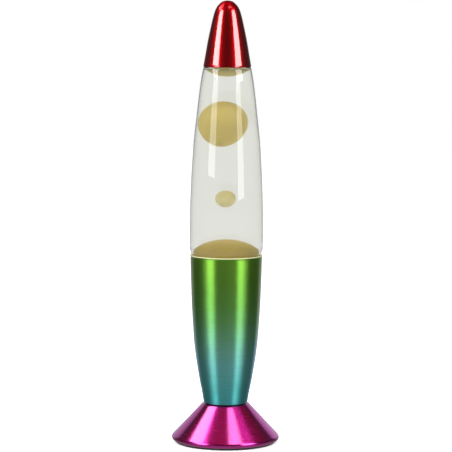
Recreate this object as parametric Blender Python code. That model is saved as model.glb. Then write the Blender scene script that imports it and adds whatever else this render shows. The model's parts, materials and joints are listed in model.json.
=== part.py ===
"""A lava lamp, as an assembly of its separate pieces.

The stand is a spun foot cone and a tapered cup, tied together by an M10 lamp tube that also carries an
E14 lampholder. A reflector bulb screws into the holder. A sealed glass bottle stands in the cup: it holds
a wire coil, a pool of wax and three loose pieces of wax. A bullet-shaped cap covers the bottle's closure.

Sizes are in millimetres and become metres when a mesh is made. The origin is on the lamp's axis, on the
surface that it stands on, and +Z is up. +Y is the back, where the cord gland is.
"""

import math

import bmesh
import bpy
from mathutils import Matrix, Vector

MM = 0.001

# Driving dimensions
TOTAL_HEIGHT = 410.0
FOOT_RADIUS = 49.4
WAIST_HEIGHT = 36.0
CUP_RIM_HEIGHT = 174.9
CUP_RIM_RADIUS = 33.6
BOTTLE_RADIUS = 33.98
BOTTLE_BASE = 130.0
BOTTLE_KICK = 1.6
MOUTH_RADIUS = 9.6
MOUTH_HEIGHT = 366.4
CAP_RIM_HEIGHT = 349.0
CAP_RIM_RADIUS = 22.3

# Walls and fits
GAP = 0.3
SHEET = 1.0
CAP_SHEET = 0.8
GLASS_WALL = 2.0
BULB_GLASS = 0.8

# Facets around the axis
LARGE = 32
MEDIUM = 20
SMALL = 16

# Foot cone and base cover
CONE_SLOPE = 0.952
HEM_RADIUS = 3.7
HEM_HEIGHT = 5.5
HEM_END = -95.0
CONE_SHOULDER = 0.8
WAIST_RING_RADIUS = 18.8
WAIST_RING_THICKNESS = 0.7
FOOT_RING_OUTER = 46.3
FOOT_RING_INNER = 42.5
FOOT_RING_HEIGHT = 1.5
COVER_RADIUS = 44.9
COVER_BOTTOM = 1.8
COVER_THICKNESS = 1.8
COVER_RECESS_RADIUS = 13.0
COVER_RECESS_TOP = 9.8
VENT_COUNT = 8
VENT_WIDTH = 3.0
VENT_INNER = 20.0
VENT_OUTER = 38.0
GLAND_HEIGHT = 13.5
GLAND_BORE = 3.3
GLAND_NECK = 4.5
GLAND_FLANGE = 6.0

# Tie tube and its nuts
TUBE_RADIUS = 4.9
TUBE_BORE = 3.8
TUBE_BOTTOM = 3.2
TUBE_TOP = 44.2
TUBE_HOLE = 5.3
NUT_FLATS = 14.0
WASHER_RADIUS = 8.5
WASHER_THICKNESS = 0.8

# Lampholder and bulb
HOLDER_BOTTOM = 42.5
HOLDER_RADIUS = 13.6
HOLDER_WALL = 1.5
HOLDER_SPLIT = 55.0
HOLDER_TOP = 70.6
CORE_TOP = 49.6
HOLDER_FLOOR = 1.7
TERMINAL_RADIUS = 9.6
TERMINAL_HEAD = 1.5
THREAD_LEAD = 2.82
THREAD_TURNS = 4
THREAD_DEPTH = 0.36
MALE_THREAD_RADIUS = 6.55
THREAD_CLEARANCE = 0.45
BULB_TIP = 52.3
BULB_THREAD_BOTTOM = 57.6
BULB_TOP = 117.5
BULB_RADIUS = 19.5

# Bottle contents
POOL_TOP = 190.5
POOL_CURVE = 30.0
POOL_EDGE = 169.5
COIL_RING_RADIUS = 14.0
COIL_RADIUS = 2.8
COIL_WIRE = 0.5
COIL_TURNS = 12
LARGE_BLOB_CENTRE = (-3.0, 0.0, 296.2)
LARGE_BLOB_RADIUS = 17.5
LARGE_BLOB_HALF_HEIGHT = 20.9
SMALL_BLOB_CENTRE = (-0.7, 0.0, 227.6)
SMALL_BLOB_RADIUS = 7.3
SMALL_BLOB_HALF_HEIGHT = 7.8
TOP_WAX_BOTTOM = 339.4
TOP_WAX_CURVE = 22.8
TOP_WAX_EDGE = 347.9

# Colours, roughness and metallic value of each material
RED_LACQUER = ((0.42, 0.005, 0.01, 1), 0.18, 0.9)
GREEN_ANODISED = ((0.16, 0.5, 0.12, 1), 0.32, 1.0)
MAGENTA_ANODISED = ((0.62, 0.03, 0.36, 1), 0.3, 1.0)
CLEAR_GLASS = ((0.93, 0.95, 0.93, 1), 0.03, 0.0)
WAX = ((0.58, 0.45, 0.16, 1), 0.4, 0.0)
BRASS = ((0.75, 0.55, 0.25, 1), 0.3, 1.0)
STEEL = ((0.6, 0.6, 0.6, 1), 0.35, 1.0)
BLACK_RUBBER = ((0.02, 0.02, 0.02, 1), 0.8, 0.0)
BLACK_PLASTIC = ((0.03, 0.03, 0.03, 1), 0.5, 0.0)
PORCELAIN = ((0.85, 0.83, 0.78, 1), 0.25, 0.0)
TUNGSTEN = ((0.3, 0.3, 0.32, 1), 0.4, 1.0)


# ---------------------------------------------------------------- tools


def clear_scene():
    for obj in list(bpy.data.objects):
        bpy.data.objects.remove(obj)


def finish(name, look):
    """A Principled material with this colour, roughness and metallic value, made once for each name."""
    found = bpy.data.materials.get(name)
    if found:
        return found
    colour, roughness, metallic = look
    made = bpy.data.materials.new(name)
    made.use_nodes = True
    shader = made.node_tree.nodes["Principled BSDF"]
    shader.inputs["Base Color"].default_value = colour
    shader.inputs["Roughness"].default_value = roughness
    shader.inputs["Metallic"].default_value = metallic
    return made


def place(name, mesh, material, location=(0, 0, 0)):
    """An object of this mesh, with its origin at a location in millimetres."""
    obj = bpy.data.objects.new(name, mesh)
    obj.location = Vector(location) * MM
    mesh.materials.append(material)
    bpy.context.scene.collection.objects.link(obj)
    return obj


def mesh_of(bm, name):
    """Turns a bmesh in millimetres into a smooth-shaded mesh in metres with its faces pointing out."""
    bmesh.ops.recalc_face_normals(bm, faces=bm.faces)
    bmesh.ops.scale(bm, vec=(MM, MM, MM), verts=bm.verts)
    mesh = bpy.data.meshes.new(name)
    bm.to_mesh(mesh)
    bm.free()
    mesh.shade_smooth()
    mesh.set_sharp_from_angle(angle=math.radians(35))
    return mesh


def spun(outline, facets):
    """A bmesh made by turning an outline of (radius, height) about Z. An outline that starts and ends on
    the axis stays open there, and any other is closed."""
    bm = bmesh.new()
    verts = [bm.verts.new((radius, 0, height)) for radius, height in outline]
    edges = [bm.edges.new(pair) for pair in zip(verts, verts[1:])]
    if outline[0][0] > 0 or outline[-1][0] > 0:
        edges.append(bm.edges.new((verts[-1], verts[0])))
    turn = {"cent": (0, 0, 0), "axis": (0, 0, 1), "angle": 2 * math.pi, "steps": facets}
    bmesh.ops.spin(bm, geom=verts + edges, use_merge=True, **turn)
    bmesh.ops.remove_doubles(bm, verts=bm.verts, dist=1e-4)
    return bm


def turned(name, outline, facets, material, location=(0, 0, 0)):
    return place(name, mesh_of(spun(outline, facets), name), material, location)


def arc(centre, radius, start, end, steps):
    """Points on a circle from one angle to another, in degrees, both ends included."""
    angles = [math.radians(start + (end - start) * i / steps) for i in range(steps + 1)]
    return [(centre[0] + radius * math.cos(a), centre[1] + radius * math.sin(a)) for a in angles]


def inset(line, distance):
    """The line moved sideways by a distance, to its left as it runs, for the other face of a sheet."""
    moved = []
    for i, (r, z) in enumerate(line):
        before = line[max(i - 1, 0)]
        after = line[min(i + 1, len(line) - 1)]
        run = Vector((after[0] - before[0], after[1] - before[1])).normalized()
        moved.append((max(r - run.y * distance, 0.0), z + run.x * distance))
    return moved


def ring(inner, outer, bottom, top):
    """The outline of a plain washer."""
    return [(inner, bottom), (outer, bottom), (outer, top), (inner, top)]


def hexagon_nut(name, bottom, thickness, material):
    """A hexagon nut on the axis, with a plain hole that clears the tube's thread."""
    bm = bmesh.new()
    corner = NUT_FLATS / math.sqrt(3)
    bore_facets = 12
    rings = []
    for z in (bottom, bottom + thickness):
        hexagon = []
        bore = []
        for i in range(bore_facets):
            angle = 2 * math.pi * i / bore_facets
            side = math.radians(30) - angle % math.radians(60)
            reach = corner * math.cos(math.radians(30)) / math.cos(side)
            hexagon.append(bm.verts.new((reach * math.cos(angle), reach * math.sin(angle), z)))
            bore.append(bm.verts.new((TUBE_HOLE * math.cos(angle), TUBE_HOLE * math.sin(angle), z)))
        rings.append((hexagon, bore))
    for i in range(bore_facets):
        j = (i + 1) % bore_facets
        (low_hex, low_bore), (high_hex, high_bore) = rings
        bm.faces.new((low_hex[i], low_hex[j], high_hex[j], high_hex[i]))
        bm.faces.new((low_bore[j], low_bore[i], high_bore[i], high_bore[j]))
        bm.faces.new((high_hex[i], high_hex[j], high_bore[j], high_bore[i]))
        bm.faces.new((low_hex[j], low_hex[i], low_bore[i], low_bore[j]))
    return place(name, mesh_of(bm, name), material)


def cutter(name, bm):
    """A wire-drawn helper for a Boolean."""
    obj = bpy.data.objects.new(name, mesh_of(bm, name))
    obj.hide_render = True
    obj.display_type = "WIRE"
    bpy.context.scene.collection.objects.link(obj)
    return obj


def cut(obj, tool):
    modifier = obj.modifiers.new("cut_" + tool.name, "BOOLEAN")
    modifier.operation = "DIFFERENCE"
    modifier.object = tool


def wire(name, points, radius, material, closed=False, sides_step=1):
    """A round wire along points in millimetres."""
    curve = bpy.data.curves.new(name, "CURVE")
    curve.dimensions = "3D"
    curve.bevel_depth = radius * MM
    curve.bevel_resolution = sides_step
    curve.use_fill_caps = not closed
    spline = curve.splines.new("POLY")
    spline.points.add(len(points) - 1)
    for point, place_at in zip(spline.points, points):
        point.co = (*(Vector(place_at) * MM), 1)
    spline.use_cyclic_u = closed
    curve.materials.append(material)
    obj = bpy.data.objects.new(name, curve)
    bpy.context.scene.collection.objects.link(obj)
    return obj


# ---------------------------------------------------------------- the stand


def cone_radius(height):
    """The radius of the foot cone's outer face at a height."""
    lean = math.atan(CONE_SLOPE)
    touch = (FOOT_RADIUS - HEM_RADIUS + HEM_RADIUS * math.cos(lean), HEM_HEIGHT + HEM_RADIUS * math.sin(lean))
    return touch[0] - CONE_SLOPE * (height - touch[1])


def make_foot_cone():
    """A spun sheet cone, curled under at the hem, with a flat flange at the waist."""
    lean = math.degrees(math.atan(CONE_SLOPE))
    hem_centre = (FOOT_RADIUS - HEM_RADIUS, HEM_HEIGHT)
    top_edge = (cone_radius(WAIST_HEIGHT - CONE_SHOULDER), WAIST_HEIGHT - CONE_SHOULDER)
    outline = [(TUBE_HOLE, WAIST_HEIGHT), (top_edge[0] - CONE_SHOULDER, WAIST_HEIGHT), top_edge]
    outline += arc(hem_centre, HEM_RADIUS, lean, HEM_END, 7)
    outline += arc(hem_centre, HEM_RADIUS - SHEET, HEM_END, lean, 6)
    inner_top = WAIST_HEIGHT - SHEET
    wall_across = SHEET * math.sqrt(1 + CONE_SLOPE**2)
    outline += [(cone_radius(inner_top) - wall_across, inner_top), (TUBE_HOLE, inner_top)]
    cone = turned("foot_cone", outline, LARGE, finish("magenta_metal", MAGENTA_ANODISED))

    bore = bmesh.new()
    size = {"radius1": GLAND_NECK + GAP, "radius2": GLAND_NECK + GAP, "depth": 30.0}
    bmesh.ops.create_cone(bore, cap_ends=True, segments=SMALL, **size)
    lay_down = Matrix.Rotation(math.pi / 2, 4, "X")
    to_wall = Matrix.Translation((0, cone_radius(GLAND_HEIGHT), GLAND_HEIGHT))
    bmesh.ops.transform(bore, matrix=to_wall @ lay_down, verts=bore.verts)
    cut(cone, cutter("gland_hole", bore))


def make_cord_gland():
    """A rubber bushing through the back of the cone, level, with a flange inside the wall. Its outer end
    stands clear of the sloping sheet all the way round."""
    wall = cone_radius(GLAND_HEIGHT)
    sloping_reach = (GLAND_FLANGE + GAP) * CONE_SLOPE
    inside = wall - SHEET * math.sqrt(1 + CONE_SLOPE**2) - sloping_reach
    outside = wall + GLAND_NECK * CONE_SLOPE + 1.2
    flange = 1.6
    outline = [
        (GLAND_BORE, inside - flange),
        (GLAND_FLANGE, inside - flange),
        (GLAND_FLANGE, inside),
        (GLAND_NECK, inside),
        (GLAND_NECK, outside - 0.5),
        (GLAND_NECK - 0.5, outside),
        (GLAND_BORE, outside),
    ]
    bm = spun(outline, SMALL)
    lay_down = Matrix.Rotation(-math.pi / 2, 4, "X")
    bmesh.ops.transform(bm, matrix=lay_down, verts=bm.verts)
    place("cord_gland", mesh_of(bm, "cord_gland"), finish("black_rubber", BLACK_RUBBER), (0, 0, GLAND_HEIGHT))


def make_foot_ring():
    outer_chamfer = 0.9
    outline = [
        (FOOT_RING_INNER, 0.0),
        (FOOT_RING_OUTER - 0.3, 0.0),
        (FOOT_RING_OUTER, 0.3),
        (FOOT_RING_OUTER, FOOT_RING_HEIGHT - 0.6),
        (FOOT_RING_OUTER - outer_chamfer, FOOT_RING_HEIGHT),
        (FOOT_RING_INNER, FOOT_RING_HEIGHT),
    ]
    turned("foot_ring", outline, LARGE, finish("black_rubber", BLACK_RUBBER))


def make_base_cover():
    """A plastic disc with a raised middle, which keeps the tie tube's nut off the table, and with vents."""
    bottom = COVER_BOTTOM
    top = bottom + COVER_THICKNESS
    recess_ceiling = COVER_RECESS_TOP - COVER_THICKNESS
    outline = [
        (TUBE_HOLE, recess_ceiling),
        (COVER_RECESS_RADIUS - 1.0, recess_ceiling),
        (COVER_RECESS_RADIUS, bottom),
        (COVER_RADIUS, bottom),
        (COVER_RADIUS, top),
        (COVER_RECESS_RADIUS + COVER_THICKNESS, top),
        (COVER_RECESS_RADIUS + COVER_THICKNESS - 1.0, COVER_RECESS_TOP),
        (TUBE_HOLE, COVER_RECESS_TOP),
    ]
    cover = turned("base_cover", outline, LARGE, finish("black_plastic", BLACK_PLASTIC))
    slots = bmesh.new()
    length = VENT_OUTER - VENT_INNER
    for i in range(VENT_COUNT):
        slot = bmesh.ops.create_cube(slots, size=1.0)["verts"]
        shape = Matrix.Diagonal((length, VENT_WIDTH, 4 * COVER_THICKNESS, 1))
        middle = Matrix.Translation(((VENT_INNER + VENT_OUTER) / 2, 0, bottom + COVER_THICKNESS / 2))
        turn = Matrix.Rotation(2 * math.pi * (i + 0.5) / VENT_COUNT, 4, "Z")
        bmesh.ops.transform(slots, matrix=turn @ middle @ shape, verts=slot)
    cut(cover, cutter("vent_slots", slots))


def make_tie_tube():
    turned("tie_tube", ring(TUBE_BORE, TUBE_RADIUS, TUBE_BOTTOM, TUBE_TOP), SMALL, finish("steel", STEEL))


def make_nuts_and_washers():
    """From the bottom up: the nut that holds the base cover, the one under the cone's flange, and the one
    in the cup that the lampholder stands on. Each has a washer against the sheet."""
    nut, thin_nut = 3.0, 2.5
    cover_face = COVER_RECESS_TOP - COVER_THICKNESS
    cone_face = WAIST_HEIGHT - SHEET
    cup_face = cup_floor() + SHEET
    steel = finish("steel", STEEL)
    for name, washer_bottom, nut_bottom, thickness in (
        ("cover", cover_face - GAP - WASHER_THICKNESS, cover_face - 2 * GAP - WASHER_THICKNESS - nut, nut),
        ("cone", cone_face - GAP - WASHER_THICKNESS, cone_face - 2 * GAP - WASHER_THICKNESS - nut, nut),
        ("holder", cup_face + GAP, cup_face + 2 * GAP + WASHER_THICKNESS, thin_nut),
    ):
        outline = ring(TUBE_HOLE, WASHER_RADIUS, washer_bottom, washer_bottom + WASHER_THICKNESS)
        turned(name + "_washer", outline, SMALL, steel)
        hexagon_nut(name + "_nut", nut_bottom, thickness, steel)


def cup_floor():
    """The height of the cup's underside, above the waist ring."""
    return WAIST_HEIGHT + 2 * GAP + WAIST_RING_THICKNESS


def make_waist_ring():
    bottom = WAIST_HEIGHT + GAP
    outline = ring(TUBE_HOLE, WAIST_RING_RADIUS, bottom, bottom + WAIST_RING_THICKNESS)
    turned("waist_ring", outline, LARGE, finish("black_plastic", BLACK_PLASTIC))


def cup_side():
    """The cup's outer face, from its underside up to the rim's bead."""
    floor = cup_floor()
    side = [(20.7, 40.7), (24.15, 57.6), (27.3, 76.5), (29.6, 95.3), (31.56, 123.5), (32.64, 151.6)]
    return [(19.2, floor), (19.9, floor + 0.5)] + side + [(33.25, 173.6)]


def make_cup():
    """A tapered cup of spun sheet, with a rolled bead at the rim and a flat bottom clamped at the waist."""
    bead_radius = 0.6
    bead_centre = (CUP_RIM_RADIUS - bead_radius, CUP_RIM_HEIGHT)
    outer = cup_side()
    outline = [(TUBE_HOLE, cup_floor())] + outer
    outline += arc(bead_centre, bead_radius, -20, 200, 5)
    outline += reversed(inset(outer[2:], SHEET))
    outline += [(18.6, cup_floor() + SHEET), (TUBE_HOLE, cup_floor() + SHEET)]
    turned("cup", outline, LARGE, finish("green_metal", GREEN_ANODISED))


# ---------------------------------------------------------------- the lampholder


def threaded(bm, radius, bottom, top):
    """Presses a round right-hand thread into the wall at this radius of a spun bmesh."""
    fade = 1.0
    for vert in bm.verts:
        flat = Vector((vert.co.x, vert.co.y))
        if abs(flat.length - radius) > 0.01 or not bottom <= vert.co.z <= top:
            continue
        angle = math.atan2(vert.co.y, vert.co.x)
        wave = math.cos(2 * math.pi * vert.co.z / THREAD_LEAD - angle)
        ends = min(1.0, (vert.co.z - bottom) / fade, (top - vert.co.z) / fade)
        flat = flat.normalized() * (radius + THREAD_DEPTH * wave * ends)
        vert.co.x, vert.co.y = flat


def thread_levels(bottom, top):
    """Heights at five to a turn, both ends included."""
    steps = round((top - bottom) / THREAD_LEAD * 5)
    return [bottom + (top - bottom) * i / steps for i in range(steps + 1)]


def make_holder_base():
    """The lampholder's lower cap: a floor that takes the tie tube's end, and a round wall."""
    inner = HOLDER_RADIUS - HOLDER_WALL
    outline = [
        (TUBE_HOLE, HOLDER_BOTTOM),
        (HOLDER_RADIUS - 2.5, HOLDER_BOTTOM),
        (HOLDER_RADIUS, HOLDER_BOTTOM + 3.0),
        (HOLDER_RADIUS, HOLDER_SPLIT),
        (inner, HOLDER_SPLIT),
        (inner, HOLDER_BOTTOM + HOLDER_FLOOR),
        (TUBE_HOLE, HOLDER_BOTTOM + HOLDER_FLOOR),
    ]
    turned("holder_base", outline, SMALL, finish("black_plastic", BLACK_PLASTIC))


def make_holder_sleeve():
    """The upper half of the lampholder, turned in at the mouth over the thread shell."""
    inner = HOLDER_RADIUS - HOLDER_WALL
    outline = [
        (inner, HOLDER_SPLIT + GAP),
        (HOLDER_RADIUS, HOLDER_SPLIT + GAP),
        (HOLDER_RADIUS, HOLDER_TOP - 1.0),
        (HOLDER_RADIUS - 1.0, HOLDER_TOP),
        (7.9, HOLDER_TOP),
        (7.9, HOLDER_TOP - HOLDER_WALL),
        (inner, HOLDER_TOP - HOLDER_WALL),
    ]
    turned("holder_sleeve", outline, SMALL, finish("black_plastic", BLACK_PLASTIC))


def make_holder_core():
    """The porcelain disc in the lampholder, with a hole for each terminal screw and one for each wire."""
    bottom = HOLDER_BOTTOM + HOLDER_FLOOR + GAP
    outline = ring(1.4, HOLDER_RADIUS - HOLDER_WALL - GAP, bottom, CORE_TOP)
    core = turned("holder_core", outline, SMALL, finish("porcelain", PORCELAIN))
    holes = bmesh.new()
    for x, y in ((TERMINAL_RADIUS, 0), (-TERMINAL_RADIUS, 0), (0, 7.5), (0, -7.5)):
        size = {"radius1": 1.3, "radius2": 1.3, "depth": 20.0}
        made = bmesh.ops.create_cone(holes, cap_ends=True, segments=10, **size)["verts"]
        bmesh.ops.translate(holes, vec=(x, y, CORE_TOP), verts=made)
    cut(core, cutter("core_holes", holes))


def make_terminal_screws():
    """A brass screw in the core for each wire of the cord. Its head clears the thread shell."""
    shank, tip = 1.0, CORE_TOP - 4.0
    head_bottom = CORE_TOP + GAP
    outline = [
        (0.0, tip),
        (shank, tip),
        (shank, head_bottom),
        (TERMINAL_HEAD, head_bottom),
        (TERMINAL_HEAD, head_bottom + 1.3),
        (0.0, head_bottom + 1.3),
    ]
    for number, side in ((1, 1), (2, -1)):
        at = (side * TERMINAL_RADIUS, 0, 0)
        turned(f"terminal_screw_{number}", outline, 10, finish("brass", BRASS), at)


def make_centre_contact():
    """The sprung brass tongue under the bulb's tip: a foot, a bend and a raised end."""
    width, thickness = 3.0, 0.35
    foot = CORE_TOP + GAP
    crown = BULB_TIP - GAP - thickness
    line = [(-5.0, foot), (-2.6, foot), (-1.2, crown), (1.2, crown), (2.4, crown - 0.9)]
    bm = bmesh.new()
    strip = [(x, z) for x, z in line] + [(x, z + thickness) for x, z in reversed(line)]
    face = bm.faces.new([bm.verts.new((x, -width / 2, z)) for x, z in strip])
    pushed = bmesh.ops.extrude_face_region(bm, geom=[face])["geom"]
    verts = [v for v in pushed if isinstance(v, bmesh.types.BMVert)]
    bmesh.ops.translate(bm, vec=(0, width, 0), verts=verts)
    place("centre_contact", mesh_of(bm, "centre_contact"), finish("brass", BRASS))


def make_thread_shell():
    """The lampholder's thin threaded sleeve, clear of the bulb's thread all the way."""
    bottom, top = 56.0, HOLDER_TOP - HOLDER_WALL - GAP
    inner = MALE_THREAD_RADIUS + THREAD_CLEARANCE
    outer = inner + THREAD_DEPTH + 0.7
    outline = [(inner, z) for z in reversed(thread_levels(bottom, top))]
    outline += [(outer, bottom), (outer, top)]
    bm = spun(outline, SMALL)
    threaded(bm, inner, bottom, top)
    place("thread_shell", mesh_of(bm, "thread_shell"), finish("brass", BRASS))


# ---------------------------------------------------------------- the bulb


def make_bulb_base():
    """The bulb's screw base: the solder tip, the glass insulator and the threaded shell with its flare."""
    tip_top = BULB_TIP + 1.3
    tip = [(0.0, BULB_TIP), (1.5, BULB_TIP + 0.3), (2.1, BULB_TIP + 0.9), (2.1, tip_top), (0.0, tip_top)]
    turned("bulb_contact", tip, SMALL, finish("steel", STEEL))
    low, high = tip_top + GAP, BULB_THREAD_BOTTOM - GAP
    insulator = [(0.0, low), (2.6, low), (5.6, high), (0.0, high)]
    turned("bulb_insulator", insulator, SMALL, finish("black_glass", BLACK_PLASTIC))

    thread_top = BULB_THREAD_BOTTOM + THREAD_TURNS * THREAD_LEAD
    wall, floor_hole, shell_bore = 0.5, 2.0, 5.6
    flare_radius, flare_bottom, flare_top = 8.4, thread_top + 5.6, thread_top + 9.2
    outline = [(MALE_THREAD_RADIUS, z) for z in thread_levels(BULB_THREAD_BOTTOM, thread_top)]
    outline += [(MALE_THREAD_RADIUS, thread_top + 3.2), (flare_radius, flare_bottom)]
    outline += [(flare_radius, flare_top)]
    outline += [(flare_radius - wall, flare_top), (flare_radius - wall, flare_bottom + 0.2)]
    outline += [(shell_bore, thread_top + 3.4), (shell_bore, BULB_THREAD_BOTTOM + wall)]
    outline += [(floor_hole, BULB_THREAD_BOTTOM + wall), (floor_hole, BULB_THREAD_BOTTOM)]
    bm = spun(outline, SMALL)
    threaded(bm, MALE_THREAD_RADIUS, BULB_THREAD_BOTTOM, thread_top)
    place("bulb_screw_base", mesh_of(bm, "bulb_screw_base"), finish("brass", BRASS))


def make_bulb_envelope():
    """The reflector bulb's glass: a neck, a widening mirror and a domed front."""
    neck = BULB_THREAD_BOTTOM + THREAD_TURNS * THREAD_LEAD + 6.4
    outer = [(7.3, neck), (7.6, neck + 5.5), (9.6, neck + 11.0), (13.4, 93.0), (17.0, 98.8), (19.0, 103.4)]
    outer += [(BULB_RADIUS, 107.0), (18.9, 110.6), (16.4, 113.6), (12.0, 115.8), (6.4, 117.1)]
    outer += [(0.0, BULB_TOP)]
    inner = inset(outer, BULB_GLASS)
    inner[-1] = (0.0, BULB_TOP - BULB_GLASS)
    # Both faces end on the axis at the front, so the outline starts and ends there.
    outline = list(reversed(outer)) + inner
    turned("bulb_envelope", outline, MEDIUM, finish("bulb_glass", CLEAR_GLASS))


def make_bulb_filament():
    """The glass stem in the bulb's neck, its two lead wires and the filament across them."""
    stem = [(0.0, 77.4), (5.4, 77.4), (5.4, 78.2), (2.2, 82.0), (2.0, 92.0), (0.0, 92.6)]
    turned("bulb_stem", stem, 12, finish("bulb_glass", CLEAR_GLASS))
    for name, side in (("lead_wire_1", 1), ("lead_wire_2", -1)):
        near, far = side * 2.9, side * 5.5
        line = [(near, 0, 83.4), (near, 0, 92.0), (far, 0, 99.0), (far, 0, 101.0)]
        wire(name, line, 0.35, finish("steel", STEEL), sides_step=0)
    span, turns, coil = 10.0, 6, 0.7
    points = []
    for i in range(turns * 6 + 1):
        along = i / (turns * 6)
        angle = 2 * math.pi * turns * along
        sag = 1.5 * math.sin(math.pi * along)
        points.append((span * (along - 0.5), coil * math.cos(angle), 102.4 + sag + coil * math.sin(angle)))
    wire("filament", points, 0.18, finish("tungsten", TUNGSTEN), sides_step=0)


# ---------------------------------------------------------------- the bottle and what it holds


def bottle_outer():
    """The bottle's outer face from the middle of its foot to its mouth."""
    foot = [(0.0, BOTTLE_BASE + BOTTLE_KICK), (14.0, BOTTLE_BASE + 1.2), (19.0, BOTTLE_BASE)]
    heel = arc((22.6, BOTTLE_BASE + 5.0), 5.0, -90, -8, 3)
    seat = [(28.6, 141.0), (30.5, 158.0), (31.3, 172.0), (31.6, 174.2), (32.2, 176.0)]
    body = [(33.2, 178.4), (33.85, 182.6), (BOTTLE_RADIUS, 194.0), (33.73, 217.0), (33.1, 235.0)]
    taper = [(32.2, 255.0), (30.5, 281.0), (28.4, 300.3), (26.5, 318.7), (24.5, 334.0), (22.8, 344.5), (22.2, 347.6)]
    shoulder = [(20.3, 349.1), (18.6, 351.4), (15.4, 353.6), (12.6, 356.4)]
    neck = [(12.0, 359.6), (13.3, 361.0), (13.3, 364.8), (12.6, MOUTH_HEIGHT)]
    return foot + heel + seat + body + taper + shoulder + neck


def bottle_inner():
    """The bottle's inner face from the middle of its floor to its mouth."""
    shell = [(0.0, BOTTLE_BASE + BOTTLE_KICK + GLASS_WALL)]
    for point in inset(bottle_outer(), GLASS_WALL):
        if point[1] < 346.0 and math.dist(point, shell[-1]) > 3.0:
            shell.append(point)
    shoulder = [(20.0, 346.4), (17.2, 349.6), (14.0, 351.8), (10.4, 355.4)]
    return shell + shoulder + [(MOUTH_RADIUS, 359.4), (MOUTH_RADIUS, MOUTH_HEIGHT)]


def make_bottle():
    outline = bottle_outer() + list(reversed(bottle_inner()))
    turned("glass_bottle", outline, LARGE, finish("clear_glass", CLEAR_GLASS))


def make_wax_pool():
    """The settled wax: it fills the bottom of the bottle, with a groove underneath for the wire coil, and
    swells into a dome above the cup's rim."""
    floor = BOTTLE_BASE + BOTTLE_KICK + GLASS_WALL + GAP
    slack = COIL_RADIUS + COIL_WIRE + GAP
    groove_top = floor + GAP + 2 * (COIL_RADIUS + COIL_WIRE) + GAP
    side = [p for p in inset(bottle_outer(), GLASS_WALL + GAP) if floor + 1.0 < p[1] < POOL_EDGE - 1.0]
    centre = POOL_TOP - POOL_CURVE
    start = math.degrees(math.asin((POOL_EDGE - centre) / POOL_CURVE))
    dome = arc((0.0, centre), POOL_CURVE, start, 90, 7)
    dome[-1] = (0.0, POOL_TOP)
    outline = [
        (0.0, floor),
        (COIL_RING_RADIUS - slack, floor),
        (COIL_RING_RADIUS - slack, groove_top),
        (COIL_RING_RADIUS + slack, groove_top),
        (COIL_RING_RADIUS + slack, floor),
        (22.0, floor),
    ]
    turned("wax_pool", outline + side + dome, LARGE, finish("wax", WAX))


def make_wire_coil():
    """The coiled wire ring on the bottle's floor, which spreads heat and gathers the wax."""
    level = BOTTLE_BASE + BOTTLE_KICK + GLASS_WALL + 2 * GAP + COIL_RADIUS + COIL_WIRE
    count = COIL_TURNS * 6
    points = []
    for i in range(count):
        around = 2 * math.pi * i / count
        twist = COIL_TURNS * around
        reach = COIL_RING_RADIUS + COIL_RADIUS * math.cos(twist)
        height = level + COIL_RADIUS * math.sin(twist)
        points.append((reach * math.cos(around), reach * math.sin(around), height))
    wire("wire_coil", points, COIL_WIRE, finish("steel", STEEL), closed=True)


def make_blob(name, centre, radius, half_height):
    """A loose piece of wax: an egg, a little fuller in its upper half."""
    steps = 10
    outline = []
    for i in range(steps + 1):
        angle = -math.pi / 2 + math.pi * i / steps
        swell = 1 + 0.04 * math.sin(angle)
        outline.append((abs(radius * swell * math.cos(angle)), half_height * math.sin(angle)))
    outline[0] = (0.0, -half_height)
    outline[-1] = (0.0, half_height)
    turned(name, outline, MEDIUM, finish("wax", WAX), centre)


def make_top_wax():
    """The wax that has gathered under the bottle's shoulder: a lens with its belly down."""
    centre = TOP_WAX_BOTTOM + TOP_WAX_CURVE
    end = -math.degrees(math.asin((centre - TOP_WAX_EDGE) / TOP_WAX_CURVE))
    belly = arc((0.0, centre), TOP_WAX_CURVE, -90, end, 5)
    belly[0] = (0.0, TOP_WAX_BOTTOM)
    outline = belly + [(16.6, 349.4), (13.0, 351.4), (8.6, 352.8), (0.0, 353.2)]
    turned("wax_top", outline, MEDIUM, finish("wax", WAX))


def make_closure():
    """The crown closure: a fluted steel cap crimped under the bottle's bead, and the liner that seals it."""
    liner_bottom = MOUTH_HEIGHT + GAP
    liner = [(0.0, liner_bottom), (12.7, liner_bottom), (12.7, liner_bottom + 0.8), (0.0, liner_bottom + 0.8)]
    turned("crown_liner", liner, SMALL, finish("white_liner", PORCELAIN))

    wall, flutes = 0.35, 21
    under, top = liner_bottom + 0.8 + GAP, liner_bottom + 0.8 + GAP + wall
    skirt = 362.0
    outline = [(0.0, under), (13.3, under), (13.9, under - 1.0), (15.0, skirt)]
    outline += [(15.0 + wall, skirt), (14.3, under - 0.6), (13.5, top), (0.0, top)]
    bm = spun(outline, 2 * flutes)
    for vert in bm.verts:
        if vert.co.z > skirt + 0.1:
            continue
        angle = math.atan2(vert.co.y, vert.co.x) % (2 * math.pi)
        crest = round(angle / (math.pi / flutes)) % 2 == 0
        push = 1.045 if crest else 1.0
        vert.co.x *= push
        vert.co.y *= push
    place("crown_cap", mesh_of(bm, "crown_cap"), finish("steel", STEEL))


# ---------------------------------------------------------------- the cap


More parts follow.
